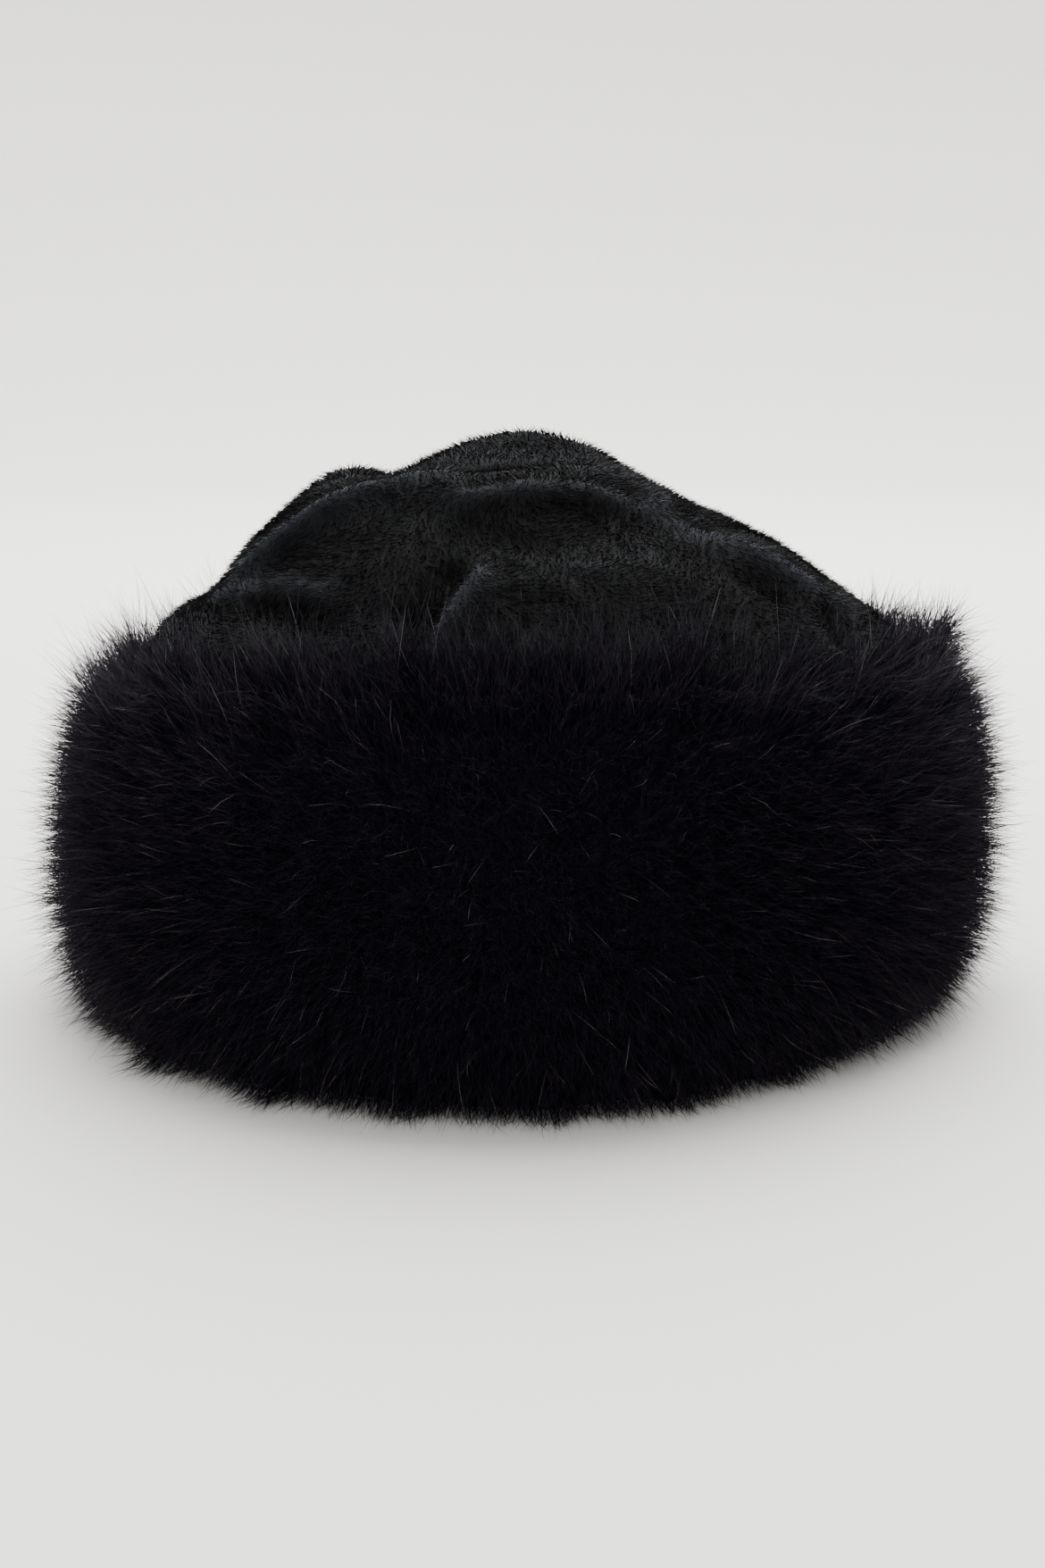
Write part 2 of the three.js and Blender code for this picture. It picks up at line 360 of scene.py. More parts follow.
@dataclass(frozen=True)
class StrandFinish:
    """Smooth drawn acrylic fibre, coloured black with dye.

    It gives the eye black roots and slightly paler, glossier tips, with a few strands that are lighter than
    their neighbours, so that single hairs can be told apart; on the guard hairs these pale strands are
    painted glints. A fibre set to follow the cloth's painted light has its colour and specular level scaled
    by it: painted highlight on crests, painted shade in gutters.
    """

    name: str
    root_hex: str
    tip_hex: str
    # From this share of the strands on, colour fades to the pale stray: lighter strands at random; on the
    # guard hairs, painted glints.
    stray_and_glint_hex: str
    stray_and_glint_from: float
    roughness: float
    specular: float
    follows_painted_light: bool = False

    def material(self) -> bpy.types.Material:
        """Return the fibre: root to tip along the map's height, strand to strand across it."""
        material, tree, shader = new_material(self.name)
        chart = add_node(tree, "ShaderNodeUVMap", {"uv_map": StrandMap.FINISH.value})
        parts = add_node(tree, "ShaderNodeSeparateXYZ", inputs={0: chart.outputs[0]})
        tips = add_node(tree, "ShaderNodeValToRGB", inputs={"Fac": parts.outputs["X"]})
        tips.color_ramp.elements[0].position = 0.0
        tips.color_ramp.elements[0].color = linear(self.root_hex)
        tips.color_ramp.elements[1].position = 1.0
        tips.color_ramp.elements[1].color = linear(self.stray_and_glint_hex)
        middle = tips.color_ramp.elements.new(self.stray_and_glint_from)
        middle.color = linear(self.tip_hex)
        rise = add_node(
            tree,
            "ShaderNodeMath",
            {"operation": "POWER"},
            {0: parts.outputs["Y"], 1: 1.3},
        )
        colour = add_node(
            tree,
            "ShaderNodeMix",
            {"data_type": "RGBA"},
            {0: rise.outputs[0], 6: linear(self.root_hex), 7: tips.outputs[0]},
        )
        gloss = add_node(
            tree,
            "ShaderNodeMapRange",
            inputs={0: parts.outputs["X"], 3: self.roughness + 0.1, 4: self.roughness - 0.08},
        )
        tree.links.new(colour.outputs[2], shader.inputs["Base Color"])
        tree.links.new(gloss.outputs[0], shader.inputs["Roughness"])
        shader.inputs["IOR"].default_value = 1.5
        shader.inputs["Specular IOR Level"].default_value = self.specular
        # Painted light: colour and specular level scaled by the cloth's attribute, painted highlight on
        # crests and painted shade in gutters.
        if self.follows_painted_light:
            own = {"attribute_name": SkinMark.PAINTED_LIGHT.value}
            shade = add_node(tree, "ShaderNodeAttribute", own).outputs["Fac"]
            painted_specular_level = add_node(tree, "ShaderNodeMath", {"operation": "MULTIPLY"}, {0: shade, 1: self.specular})
            painted_light_colour = add_node(
                tree,
                "ShaderNodeVectorMath",
                {"operation": "SCALE"},
                {0: colour.outputs[2], "Scale": shade},
            )
            tree.links.new(painted_specular_level.outputs[0], shader.inputs["Specular IOR Level"])
            tree.links.new(painted_light_colour.outputs[0], shader.inputs["Base Color"])
        return material


@dataclass(frozen=True)
class BackingFinish:
    """Matted underfur close to the backing cloth.

    It gives the eye the near-black depth that shows between the strands, with a faint felted mottle.
    """

    name: str = "acrylic_underfur_black"
    deep_hex: str = "#0c0a12"
    mottle_hex: str = "#14101b"
    mottle_mm: float = 3.0

    def material(self) -> bpy.types.Material:
        """Return the underfur: a dull black with a felted mottle in colour and bump."""
        material, tree, shader = new_material(self.name)
        place = add_node(tree, "ShaderNodeTexCoord").outputs["Object"]
        felt = add_node(
            tree,
            "ShaderNodeTexNoise",
            inputs={"Vector": place, "Scale": 1 / (self.mottle_mm * MM), "Detail": 5.0},
        )
        ramp = add_node(tree, "ShaderNodeValToRGB", inputs={"Fac": felt.outputs[0]})
        ramp.color_ramp.elements[0].position = 0.35
        ramp.color_ramp.elements[0].color = linear(self.deep_hex)
        ramp.color_ramp.elements[1].position = 0.75
        ramp.color_ramp.elements[1].color = linear(self.mottle_hex)
        bump = add_node(
            tree,
            "ShaderNodeBump",
            inputs={"Height": felt.outputs[0], "Strength": 0.8, "Distance": 1.5 * MM},
        )
        tree.links.new(ramp.outputs[0], shader.inputs["Base Color"])
        tree.links.new(bump.outputs[0], shader.inputs["Normal"])
        shader.inputs["Roughness"].default_value = 0.9
        shader.inputs["Specular IOR Level"].default_value = 0.05
        return material


@dataclass(frozen=True)
class StrandLayer:
    """Sizes of one layer of strands.

    A real fibre is about 0.05 mm thick. Strands are drawn several times as thick, and fewer, so that they
    show in the render and the layer stays under 200,000 triangles.
    """

    name: str
    strands: int
    length_mm: float
    spread: float
    width_mm: float
    segments: int
    stray: float
    sway: float
    droop: float
    clump: float
    clump_mm: float
    seed: int


class StrandTree:
    """Geometry Nodes tree that grows tapered strands along the lay of a skin."""

    FLOATS = (
        "Density",
        "Length",
        "Spread",
        "Width",
        "Stray",
        "Sway",
        "Droop",
        "Clump",
        "Tuft Pitch",
        "Floor",
    )

    def __init__(self) -> None:
        """Build the tree with its named inputs."""
        self.tree = bpy.data.node_groups.new("grown_strands", "GeometryNodeTree")
        face = self.tree.interface
        face.new_socket("Skin", in_out="INPUT", socket_type="NodeSocketGeometry")
        for name in self.FLOATS:
            face.new_socket(name, in_out="INPUT", socket_type="NodeSocketFloat")
        for name in ("Segments", "Seed"):
            face.new_socket(name, in_out="INPUT", socket_type="NodeSocketInt")
        face.new_socket("Fibre", in_out="INPUT", socket_type="NodeSocketMaterial")
        face.new_socket("Strands", in_out="OUTPUT", socket_type="NodeSocketGeometry")
        self.given = add_node(self.tree, "NodeGroupInput").outputs
        strands = self._bent(self._planted())
        add_node(self.tree, "NodeGroupOutput", inputs={0: strands})

    def _maths(self, operation: str, first: Any, second: Any = 0.0) -> bpy.types.NodeSocket:
        """Add a sum on two numbers.

        Args:
            operation: Blender's name of the sum.
            first: Number or socket.
            second: Number or socket.

        Returns:
            Socket with the result.
        """
        return add_node(
            self.tree, "ShaderNodeMath", {"operation": operation}, {0: first, 1: second}
        ).outputs[0]

    def _vectors(self, operation: str, first: Any, second: Any) -> bpy.types.NodeSocket:
        """Add a sum on two vectors.

        Args:
            operation: Blender's name of the sum.
            first: Vector or socket.
            second: Vector or socket; for SCALE a number.

        Returns:
            Socket with the result.
        """
        place = "Scale" if operation == "SCALE" else 1
        return add_node(
            self.tree, "ShaderNodeVectorMath", {"operation": operation}, {0: first, place: second}
        ).outputs[0]

    def _chance(self, low: float, high: Any, turn: int) -> bpy.types.NodeSocket:
        """Return a random number for each strand.

        Args:
            low: Least number.
            high: Largest number, or its socket.
            turn: Number added to the seed, so that choices differ.

        Returns:
            Socket with the number.
        """
        seed = self._maths("ADD", self.given["Seed"], turn)
        kind = {"data_type": "FLOAT"}
        ends = {2: low, 3: high, "Seed": seed}
        return add_node(self.tree, "FunctionNodeRandomValue", kind, ends).outputs[1]

    def _drift(self, turn: int) -> bpy.types.NodeSocket:
        """Return a random vector from -1 to 1 for each strand.

        Args:
            turn: Number added to the seed, so that choices differ.

        Returns:
            Socket with the vector.
        """
        seed = self._maths("ADD", self.given["Seed"], turn)
        kind = {"data_type": "FLOAT_VECTOR"}
        ends = {0: (-1.0, -1.0, -1.0), 1: (1.0, 1.0, 1.0), "Seed": seed}
        return add_node(self.tree, "FunctionNodeRandomValue", kind, ends).outputs[0]

    def _kept(
        self,
        geometry: bpy.types.NodeSocket,
        name: str,
        value: bpy.types.NodeSocket,
        kind: str = "FLOAT",
        domain: str = "POINT",
    ) -> bpy.types.NodeSocket:
        """Store a value under a name.

        Args:
            geometry: Geometry that gets the value.
            name: Name of the attribute.
            value: Socket with the value.
            kind: Data type of the attribute.
            domain: Where on the geometry it is stored.

        Returns:
            The geometry with the attribute.
        """
        return add_node(
            self.tree,
            "GeometryNodeStoreNamedAttribute",
            {"data_type": kind, "domain": domain},
            {"Geometry": geometry, "Name": name, "Value": value},
        ).outputs[0]

    def _named(self, name: str, kind: str = "FLOAT") -> bpy.types.NodeSocket:
        """Read a stored value.

        Args:
            name: Name of the attribute.
            kind: Data type of the attribute.

        Returns:
            Socket with the value.
        """
        return add_node(
            self.tree, "GeometryNodeInputNamedAttribute", {"data_type": kind}, {"Name": name}
        ).outputs[0]

    def _spike(self) -> bpy.types.NodeSocket:
        """Return one strand of unit height: three-sided, full at the root, drawn to a point."""
        spike = add_node(
            self.tree,
            "GeometryNodeMeshCone",
            {"fill_type": "NONE"},
            {
                "Vertices": 3,
                "Side Segments": self.given["Segments"],
                "Radius Top": 0.0,
                "Radius Bottom": 0.5,
                "Depth": 1.0,
            },
        ).outputs["Mesh"]
        place = add_node(self.tree, "GeometryNodeInputPosition").outputs[0]
        axes = add_node(self.tree, "ShaderNodeSeparateXYZ", inputs={0: place}).outputs
        half_y = self._maths("MULTIPLY", axes["Y"], 0.5)
        spike = self._kept(spike, "along", axes["Z"])
        spike = self._kept(spike, "around", self._maths("ADD", axes["X"], half_y))
        belly = self._maths("MULTIPLY", axes["Z"], self._maths("SUBTRACT", 1.0, axes["Z"]))
        full = self._maths("MULTIPLY_ADD", belly, 2.2)
        full.node.inputs[2].default_value = 1.0
        wide = add_node(self.tree, "ShaderNodeCombineXYZ", inputs={0: full, 1: full, 2: 1.0}).outputs[0]
        rounded = self._vectors("MULTIPLY", place, wide)
        return add_node(
            self.tree, "GeometryNodeSetPosition", inputs={"Geometry": spike, "Position": rounded}
        ).outputs[0]

    def _planted(self) -> bpy.types.NodeSocket:
        """Return straight strands, each set along the lay at a random point of the skin."""
        skin = self.given["Skin"]
        cover = self._named(SkinMark.COVER.value)
        sown = add_node(
            self.tree,
            "GeometryNodeDistributePointsOnFaces",
            {"distribute_method": "RANDOM"},
            {
                "Mesh": skin,
                "Density": self._maths("MULTIPLY", cover, self.given["Density"]),
                "Seed": self.given["Seed"],
            },
        ).outputs["Points"]
        tufts = add_node(
            self.tree,
            "GeometryNodeDistributePointsOnFaces",
            {"distribute_method": "POISSON"},
            {
                "Mesh": skin,
                "Distance Min": self.given["Tuft Pitch"],
                "Density Max": 1e6,
                "Density Factor": cover,
                "Seed": self._maths("ADD", self.given["Seed"], 71),
            },
        ).outputs["Points"]
        nearest = add_node(
            self.tree, "GeometryNodeProximity", {"target_element": "POINTS"}, {0: tufts}
        ).outputs["Position"]
        place = add_node(self.tree, "GeometryNodeInputPosition").outputs[0]
        lay = self._named(SkinMark.LAY.value, "FLOAT_VECTOR")
        reach = add_node(
            self.tree, "ShaderNodeVectorMath", {"operation": "LENGTH"}, {0: lay}
        ).outputs["Value"]
        least = self._maths("SUBTRACT", 1.0, self.given["Spread"])
        share = self._maths("ADD", least, self._chance(0.0, self.given["Spread"], 1))
        length = self._maths("MULTIPLY", self._maths("MULTIPLY", self.given["Length"], reach), share)
        sway = self._vectors("SCALE", self._drift(2), self._maths("MULTIPLY", self.given["Sway"], length))
        gather = self._maths("MULTIPLY", self.given["Clump"], self._chance(0.35, 1.0, 3))
        apart = self._vectors("SUBTRACT", nearest, place)
        far = add_node(
            self.tree, "ShaderNodeVectorMath", {"operation": "LENGTH"}, {0: apart}
        ).outputs["Value"]
        near = self._maths("LESS_THAN", far, self.given["Tuft Pitch"])
        pull = self._vectors("SCALE", apart, self._maths("MULTIPLY", gather, near))
        aim = self._vectors("ADD", lay, self._vectors("SCALE", self._drift(4), self.given["Stray"]))
        sown = self._kept(sown, "strand_length", length)
        sown = self._kept(sown, "strand_sway", sway, "FLOAT_VECTOR")
        sown = self._kept(sown, "strand_pull", pull, "FLOAT_VECTOR")
        sown = self._kept(sown, "strand_aim", aim, "FLOAT_VECTOR")
        sown = self._kept(sown, "strand_tone", self._chance(0.0, 1.0, 5))
        upright = add_node(
            self.tree,
            "FunctionNodeAlignRotationToVector",
            {"axis": "Z"},
            {"Vector": self._named("strand_aim", "FLOAT_VECTOR")},
        ).outputs[0]
        spin = add_node(
            self.tree,
            "FunctionNodeAxisAngleToRotation",
            inputs={"Axis": (0.0, 0.0, 1.0), "Angle": self._chance(0.0, math.tau, 6)},
        ).outputs[0]
        turned = add_node(
            self.tree,
            "FunctionNodeRotateRotation",
            {"rotation_space": "LOCAL"},
            {0: upright, 1: spin},
        ).outputs[0]
        width = self._maths("MULTIPLY", self.given["Width"], self._chance(0.7, 1.25, 7))
        size = add_node(
            self.tree,
            "ShaderNodeCombineXYZ",
            inputs={0: width, 1: width, 2: self._named("strand_length")},
        ).outputs[0]
        return add_node(
            self.tree,
            "GeometryNodeInstanceOnPoints",
            inputs={"Points": sown, "Instance": self._spike(), "Rotation": turned, "Scale": size},
        ).outputs[0]

    def _bent(self, planted: bpy.types.NodeSocket) -> bpy.types.NodeSocket:
        """Return the strands bent, gathered, held above the floor, mapped and dressed.

        Args:
            planted: Instances of the straight strand.

        Returns:
            Plain geometry of all the strands.
        """
        strands = add_node(self.tree, "GeometryNodeRealizeInstances", inputs={0: planted}).outputs[0]
        along = self._named("along")
        curve = self._maths("MULTIPLY", along, along)
        sway = self._vectors("SCALE", self._named("strand_sway", "FLOAT_VECTOR"), curve)
        close = self._maths("POWER", along, 1.2)
        pull = self._vectors("SCALE", self._named("strand_pull", "FLOAT_VECTOR"), close)
        drop = self._maths("MULTIPLY", self._maths("MULTIPLY", curve, self._named("strand_length")), -1.0)
        drop = self._maths("MULTIPLY", drop, self.given["Droop"])
        fall = add_node(self.tree, "ShaderNodeCombineXYZ", inputs={2: drop}).outputs[0]
        offset = self._vectors("ADD", self._vectors("ADD", sway, pull), fall)
        strands = add_node(
            self.tree, "GeometryNodeSetPosition", inputs={"Geometry": strands, "Offset": offset}
        ).outputs[0]
        place = add_node(self.tree, "GeometryNodeInputPosition").outputs[0]
        axes = add_node(self.tree, "ShaderNodeSeparateXYZ", inputs={0: place}).outputs
        above = self._maths("MAXIMUM", axes["Z"], self.given["Floor"])
        held = add_node(
            self.tree, "ShaderNodeCombineXYZ", inputs={0: axes["X"], 1: axes["Y"], 2: above}
        ).outputs[0]
        strands = add_node(
            self.tree, "GeometryNodeSetPosition", inputs={"Geometry": strands, "Position": held}
        ).outputs[0]
        tone = self._maths("MULTIPLY_ADD", self._named("strand_tone"), 0.96)
        tone.node.inputs[2].default_value = 0.02
        across = self._maths("MULTIPLY_ADD", self._named("around"), 0.02)
        self.tree.links.new(tone, across.node.inputs[2])
        chart = add_node(self.tree, "ShaderNodeCombineXYZ", inputs={0: across, 1: along}).outputs[0]
        for chart_name in StrandMap:
            strands = self._kept(strands, chart_name.value, chart, "FLOAT2", "CORNER")
        strands = add_node(self.tree, "GeometryNodeSetShadeSmooth", inputs={0: strands}).outputs[0]
        return add_node(
            self.tree,
            "GeometryNodeSetMaterial",
            inputs={"Geometry": strands, "Material": self.given["Fibre"]},
        ).outputs[0]

    def grow(
        self, skin: bpy.types.Mesh, area: float, layer: StrandLayer, fibre: bpy.types.Material
    ) -> bpy.types.Object:
        """Grow one layer of strands and turn it into a plain mesh.

        Args:
            skin: Mesh that carries the lay and the cover.
            area: Covered area of the skin in square metres.
            layer: Sizes of the layer.
            fibre: Material of the strands.

        Returns:
            The layer as a piece of its own.
        """
        piece = new_object(layer.name, skin.copy())
        live = piece.modifiers.new("strands", "NODES")
        live.node_group = self.tree
        values = {
            "Density": layer.strands / area,
            "Length": layer.length_mm * MM,
            "Spread": layer.spread,
            "Width": layer.width_mm * MM,
            "Stray": layer.stray,
            "Sway": layer.sway,
            "Droop": layer.droop,
            "Clump": layer.clump,
            "Tuft Pitch": layer.clump_mm * MM,
            "Floor": STRAND_FLOOR_MM * MM,
            "Segments": layer.segments,
            "Seed": layer.seed,
            "Fibre": fibre,
        }
        for item in self.tree.interface.items_tree:
            if item.in_out == "INPUT" and item.name in values:
                live[item.identifier] = values[item.name]
        baked(piece)
        kept = {chart.value for chart in StrandMap} | {SkinMark.PAINTED_LIGHT.value}
        for name in [a.name for a in piece.data.attributes if not a.is_required]:
            if name not in kept and not name.startswith(".") and name != "material_index":
                piece.data.attributes.remove(piece.data.attributes[name])
        piece.data.uv_layers[StrandMap.FINISH.value].active_render = True
        return piece


@dataclass(frozen=True)
class Crease:
    """One crest (rise above zero) or gutter (below) of the slumped cloth, and its line on the cloth."""

    name: str
    rise_mm: float
    half_mm: float
    line_mm: tuple[tuple[float, float, float], ...]

    def near(self, places: np.ndarray) -> np.ndarray:
        """Tell how near places lie to the line. Depth along the line of sight counts for less.

        Args:
            places: Points of the cloth, in metres.

        Returns:
            1 on the line, fading to 0 at its sides.
        """
        squeeze = np.eye(3) - (1 - DEPTH_SHARE) * np.outer(SIGHT, SIGHT)
        line = np.array(self.line_mm) * MM @ squeeze
        seen = places @ squeeze
        least = np.full(len(places), np.inf)
        for start, end in zip(line, line[1:]):
            along = end - start
            share = np.clip((seen - start) @ along / (along @ along), 0.0, 1.0)
            gap = np.linalg.norm(seen - start - share[:, None] * along, axis=1)
            least = np.minimum(least, gap)
        return np.exp(-((least / (self.half_mm * MM)) ** 2))


# Name, rise and half width in millimetres, then the line.
CREASES = (
    Crease(
        "front_crest",
        2.8,
        4.6,
        (
            (-83, -22, 136),
            (-75, -30, 143),
            (-62, -36, 151),
            (-48, -34, 159),
            (-35, -30, 163),
            (-23, -24, 165),
            (-7, -18, 167),
            (7, -15, 167),
            (21, -12, 165),
            (32, -12, 160),
            (41, -17, 155),
        ),
    ),
    Crease("lobe_gutter", -1.8, 5.0, ((-76, -14, 148), (-63, -18, 156), (-51, -12, 160), (-40, -6, 163))),
    Crease("crest_gutter", -2.4, 5.0, ((-14, -34, 164), (4, -32, 166), (20, -28, 164), (33, -28, 158))),
    Crease(
        "second_crest",
        2.0,
        4.4,
        ((-17, -45, 158), (-6, -44, 161), (4, -42, 162), (17, -39, 162), (27, -36, 160), (38, -30, 155)),
    ),
    Crease("second_gutter", -0.5, 5.0, ((-6, -54, 155), (10, -52, 156), (26, -48, 153), (39, -43, 148))),
    Crease(
        "shoulder_crest",
        2.2,
        7.0,
        ((42, -37, 149), (53, -45, 147), (65, -46, 143), (76, -43, 138), (88, -33, 130), (94, -28, 126)),
    ),
    Crease("shoulder_gutter", -0.5, 5.0, ((46, -54, 143), (60, -56, 138), (75, -53, 131), (90, -41, 122))),
    Crease("front_dart", -3.2, 4.5, ((-33, -87, 120), (-28, -80, 127), (-24, -74, 133), (-19, -68, 138))),
    Crease("dart_lip", 2.6, 4.0, ((-24, -89, 122), (-19, -85, 128), (-15, -80, 134), (-11, -75, 139))),
    Crease("left_crest", 2.4, 4.5, ((-89, -26, 127), (-73, -48, 132), (-56, -65, 133))),
    Crease("left_gutter", -1.6, 5.0, ((-87, -40, 123), (-69, -61, 127), (-53, -76, 126))),
    Crease("right_notch", -2.8, 4.5, ((89, -36, 127), (92, -41, 121), (95, -46, 117))),
    Crease("back_crest", 2.6, 6.5, ((-60, 40, 145), (-30, 58, 143), (5, 62, 142), (40, 52, 140))),
    Crease("back_gutter", -2.4, 6.0, ((-70, 58, 124), (-35, 76, 126), (0, 80, 127), (36, 74, 124))),
)


@dataclass
class Crown:
    """Slumped plush bag of the hat: its cloth and the pile that stands on it."""

    node: str = "crown"
    finish: PlushFinish = field(default_factory=PlushFinish)
    fibre: StrandFinish = field(
        default_factory=lambda: StrandFinish(
            name="polyester_pile_black",
            root_hex="#040508",
            tip_hex="#08090e",
            stray_and_glint_hex="#171a22",
            stray_and_glint_from=0.85,
            roughness=0.55,
            specular=0.16,
            # The pile takes on the cloth's painted highlight and painted shade.
            follows_painted_light=True,
        )
    )
    pile: StrandLayer = field(
        default_factory=lambda: StrandLayer(
            name="crown_pile",
            strands=50_000,
            length_mm=4.6,
            spread=0.4,
            width_mm=0.34,
            segments=1,
            stray=0.3,
            sway=0.0,
            droop=0.0,
            clump=0.15,
            clump_mm=4.0,
            seed=11,
        )
    )
    creases: tuple[Crease, ...] = CREASES
    easing: int = 110
    deepest_mm: float = 3.2
    # Levels of the painted light: plain, added on crests as painted highlight, taken off in gutters as
    # painted shade.
    plain_painted_light: float = 0.28
    crest_painted_highlight: float = 0.8
    gutter_painted_shade: float = 0.1
    drape_mm: float = 1.6
    drape_pitch_mm: tuple[float, float, float] = (46.0, 40.0, 13.0)
    drape_slant: float = 0.3
    pucker_mm: float = 0.6
    pucker_pitch_mm: float = 6.5
    swirl: float = 1.1
    swirl_pitch_mm: float = 22.0
    cuff_top_mm: float = 92.0
    middle_m: tuple[float, float, float] = (0.0, 0.0, 0.06)
    pile_down: tuple[float, float, float] = (0.12, -0.35, -1.0)

    def build(self) -> bpy.types.Object:
        """Return the cloth: the CAD form smoothed, with creases and wrinkles above the cuff, and painted
        light stored on it: painted highlight on crests, painted shade in gutters.
        """
        cloth = new_object("crown_cloth", merged_copy(self.node, quads=True))
        smooth = cloth.modifiers.new("smooth", "SUBSURF")
        smooth.levels = 2
        smooth.render_levels = 2
        baked(cloth)
        drawn = points_of(cloth.data)
        self._relax(cloth, drawn)
        places = points_of(cloth.data)
        normals = normals_of(cloth.data)
        outside = eased(np.einsum("ij,ij->i", normals, unit(places - self._middle())), 0.0, 0.2)
        free = outside * eased(drawn[:, 2], self.cuff_top_mm * MM, (self.cuff_top_mm + 22) * MM)
        lift = np.array([self._wrinkle(Vector(place)) for place in drawn])
        # Painted light: crests count up, gutters count down.
        tone = np.zeros(len(places))
        for crease in self.creases:
            near = crease.near(places)
            lift += crease.rise_mm * MM * near
            tone += math.copysign(1.0, crease.rise_mm) * near
        lift = np.clip(lift, -self.deepest_mm * MM, None)
        place_points(cloth.data, places + normals * (lift * free)[:, None])
        # Painted light stored on the cloth: a plain level, raised by painted highlight on crests and lowered
        # by painted shade in gutters.
        crests = self.crest_painted_highlight * np.clip(tone, 0.0, 1.0)
        gutters = self.gutter_painted_shade * np.clip(-tone, 0.0, 1.0)
        shade = cloth.data.attributes.new(SkinMark.PAINTED_LIGHT.value, "FLOAT", "POINT")
        shade.data.foreach_set("value", (self.plain_painted_light + crests - gutters).astype(np.float32))
        cloth.data.polygons.foreach_set("use_smooth", [True] * len(cloth.data.polygons))
        return cloth

    def _relax(self, cloth: bpy.types.Object, drawn: np.ndarray) -> None:
        """Even out the front slope, so that its creases stand on an easy curve.

        Args:
            cloth: The crown's cloth.
            drawn: Places of its vertices.
        """
        weights = eased(-drawn[:, 1], 8 * MM, 34 * MM) * eased(drawn[:, 2], 112 * MM, 126 * MM)
        slope = cloth.vertex_groups.new(name="slope")
        for index in np.flatnonzero(weights > 0.01):
            slope.add([int(index)], float(weights[index]), "REPLACE")
        ease = cloth.modifiers.new("ease", "SMOOTH")
        ease.factor = 0.5
        ease.iterations = self.easing
        ease.vertex_group = slope.name
        baked(cloth)
        cloth.vertex_groups.clear()

    def _middle(self) -> np.ndarray:
        """Return a point inside the hollow, from which both faces of the wall are told apart."""
        return np.array(self.middle_m)

    def _wrinkle(self, place: Vector) -> float:
        """Tell how far the cloth's loose wrinkles rise.

        Args:
            place: Point of the cloth, in metres.

        Returns:
            Rise in metres.
        """
        pitch = Vector(self.drape_pitch_mm) * MM
        slid = place.z + self.drape_slant * place.x
        broad = noise.noise(Vector((place.x / pitch.x, place.y / pitch.y, slid / pitch.z)))
        fine = noise.noise(place / (self.pucker_pitch_mm * MM) + Vector((7.3, 1.9, 4.1)))
        return (broad * self.drape_mm + fine * self.pucker_mm) * MM

    def dress(self, cloth: bpy.types.Object, tree: StrandTree) -> list[bpy.types.Object]:
        """Give the cloth its finish and grow the pile on its outside.

        Args:
            cloth: The crown's cloth.
            tree: Tree that grows strands.

        Returns:
            The cloth and its pile.
        """
        cloth.data.materials.append(self.finish.material())
        places = points_of(cloth.data)
        normals = normals_of(cloth.data)
        outside = eased(np.einsum("ij,ij->i", normals, unit(places - self._middle())), 0.0, 0.25)
        cover = outside * eased(places[:, 2], (self.cuff_top_mm - 12) * MM, self.cuff_top_mm * MM)
        down = np.array(self.pile_down)
        tangent = unit(down - normals * (normals @ down)[:, None])
        across = np.cross(normals, tangent)
        turn = np.array([noise.noise(Vector(p) / (self.swirl_pitch_mm * MM)) for p in places])
        turn = (turn * 2 * self.swirl)[:, None]
        lay = unit(normals * 0.55 + (tangent * np.cos(turn) + across * np.sin(turn)) * 0.85)
        skin = cloth.data.copy()
        mark(skin, lay, cover)
        pile = tree.grow(skin, covered_area(skin, cover), self.pile, self.fibre.material())
        for piece in (cloth, pile):
            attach(piece, "root")
        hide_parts(self.node)
        return [cloth, pile]


